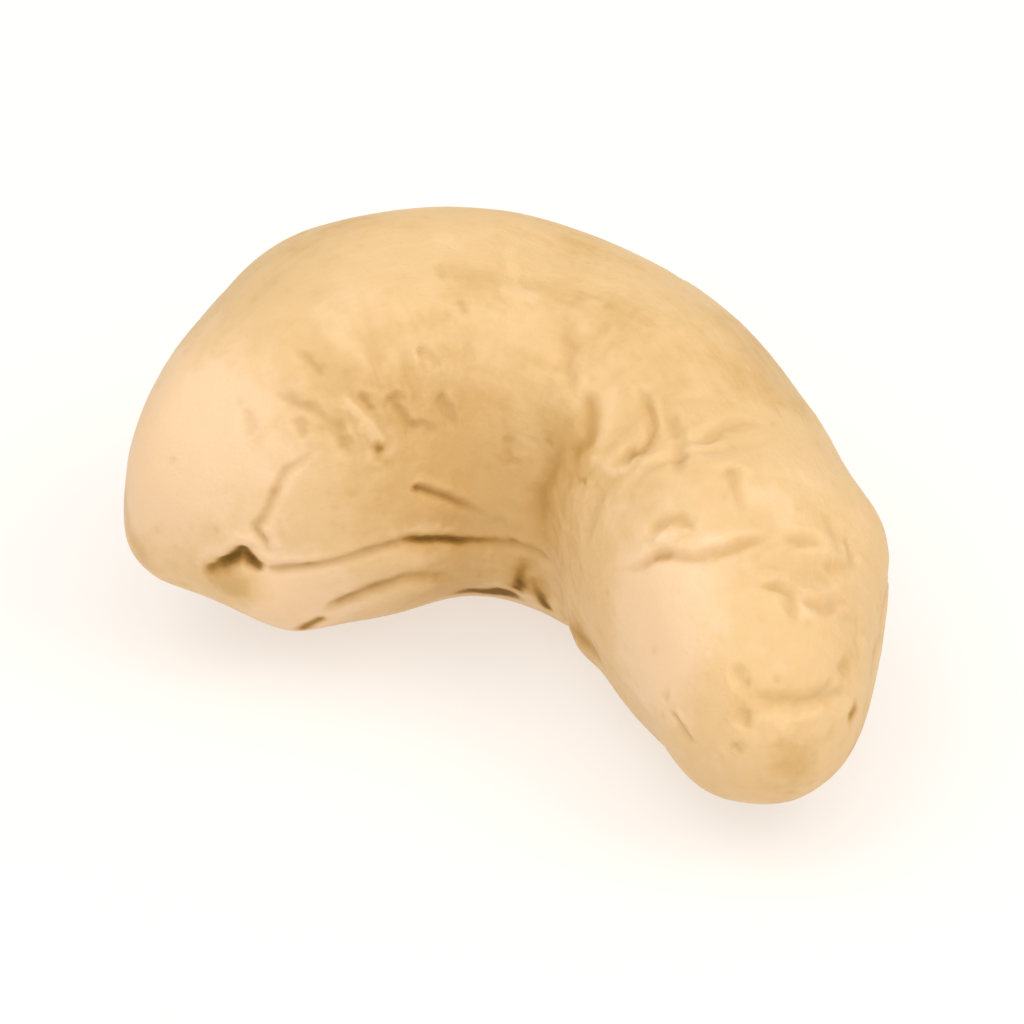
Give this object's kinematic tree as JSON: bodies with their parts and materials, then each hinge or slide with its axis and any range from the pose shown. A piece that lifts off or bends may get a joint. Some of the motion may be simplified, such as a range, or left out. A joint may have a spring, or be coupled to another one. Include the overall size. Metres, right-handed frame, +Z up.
{
  "type": "roasted cashew nut",
  "caption": "Whole roasted cashew kernel, kidney-shaped, lying on its side, with a seam along its belly and a germ nub at its fat end.",
  "frame": {"origin": "on the resting surface, under the middle of the kernel's bounding box", "axes": "+X along the length from the fat germ end to the slim tail, +Y towards the outside of the bend, +Z up as it lies"},
  "size_m": [0.026, 0.0166, 0.0122],
  "materials": {
    "roasted_kernel": "satin cream-tan roasted nut flesh, faintly waxy, browner in the seam and creases"
  },
  "bodies": {
    "root": {"cashew_kernel": "roasted_kernel"}
  },
  "joints": []
}
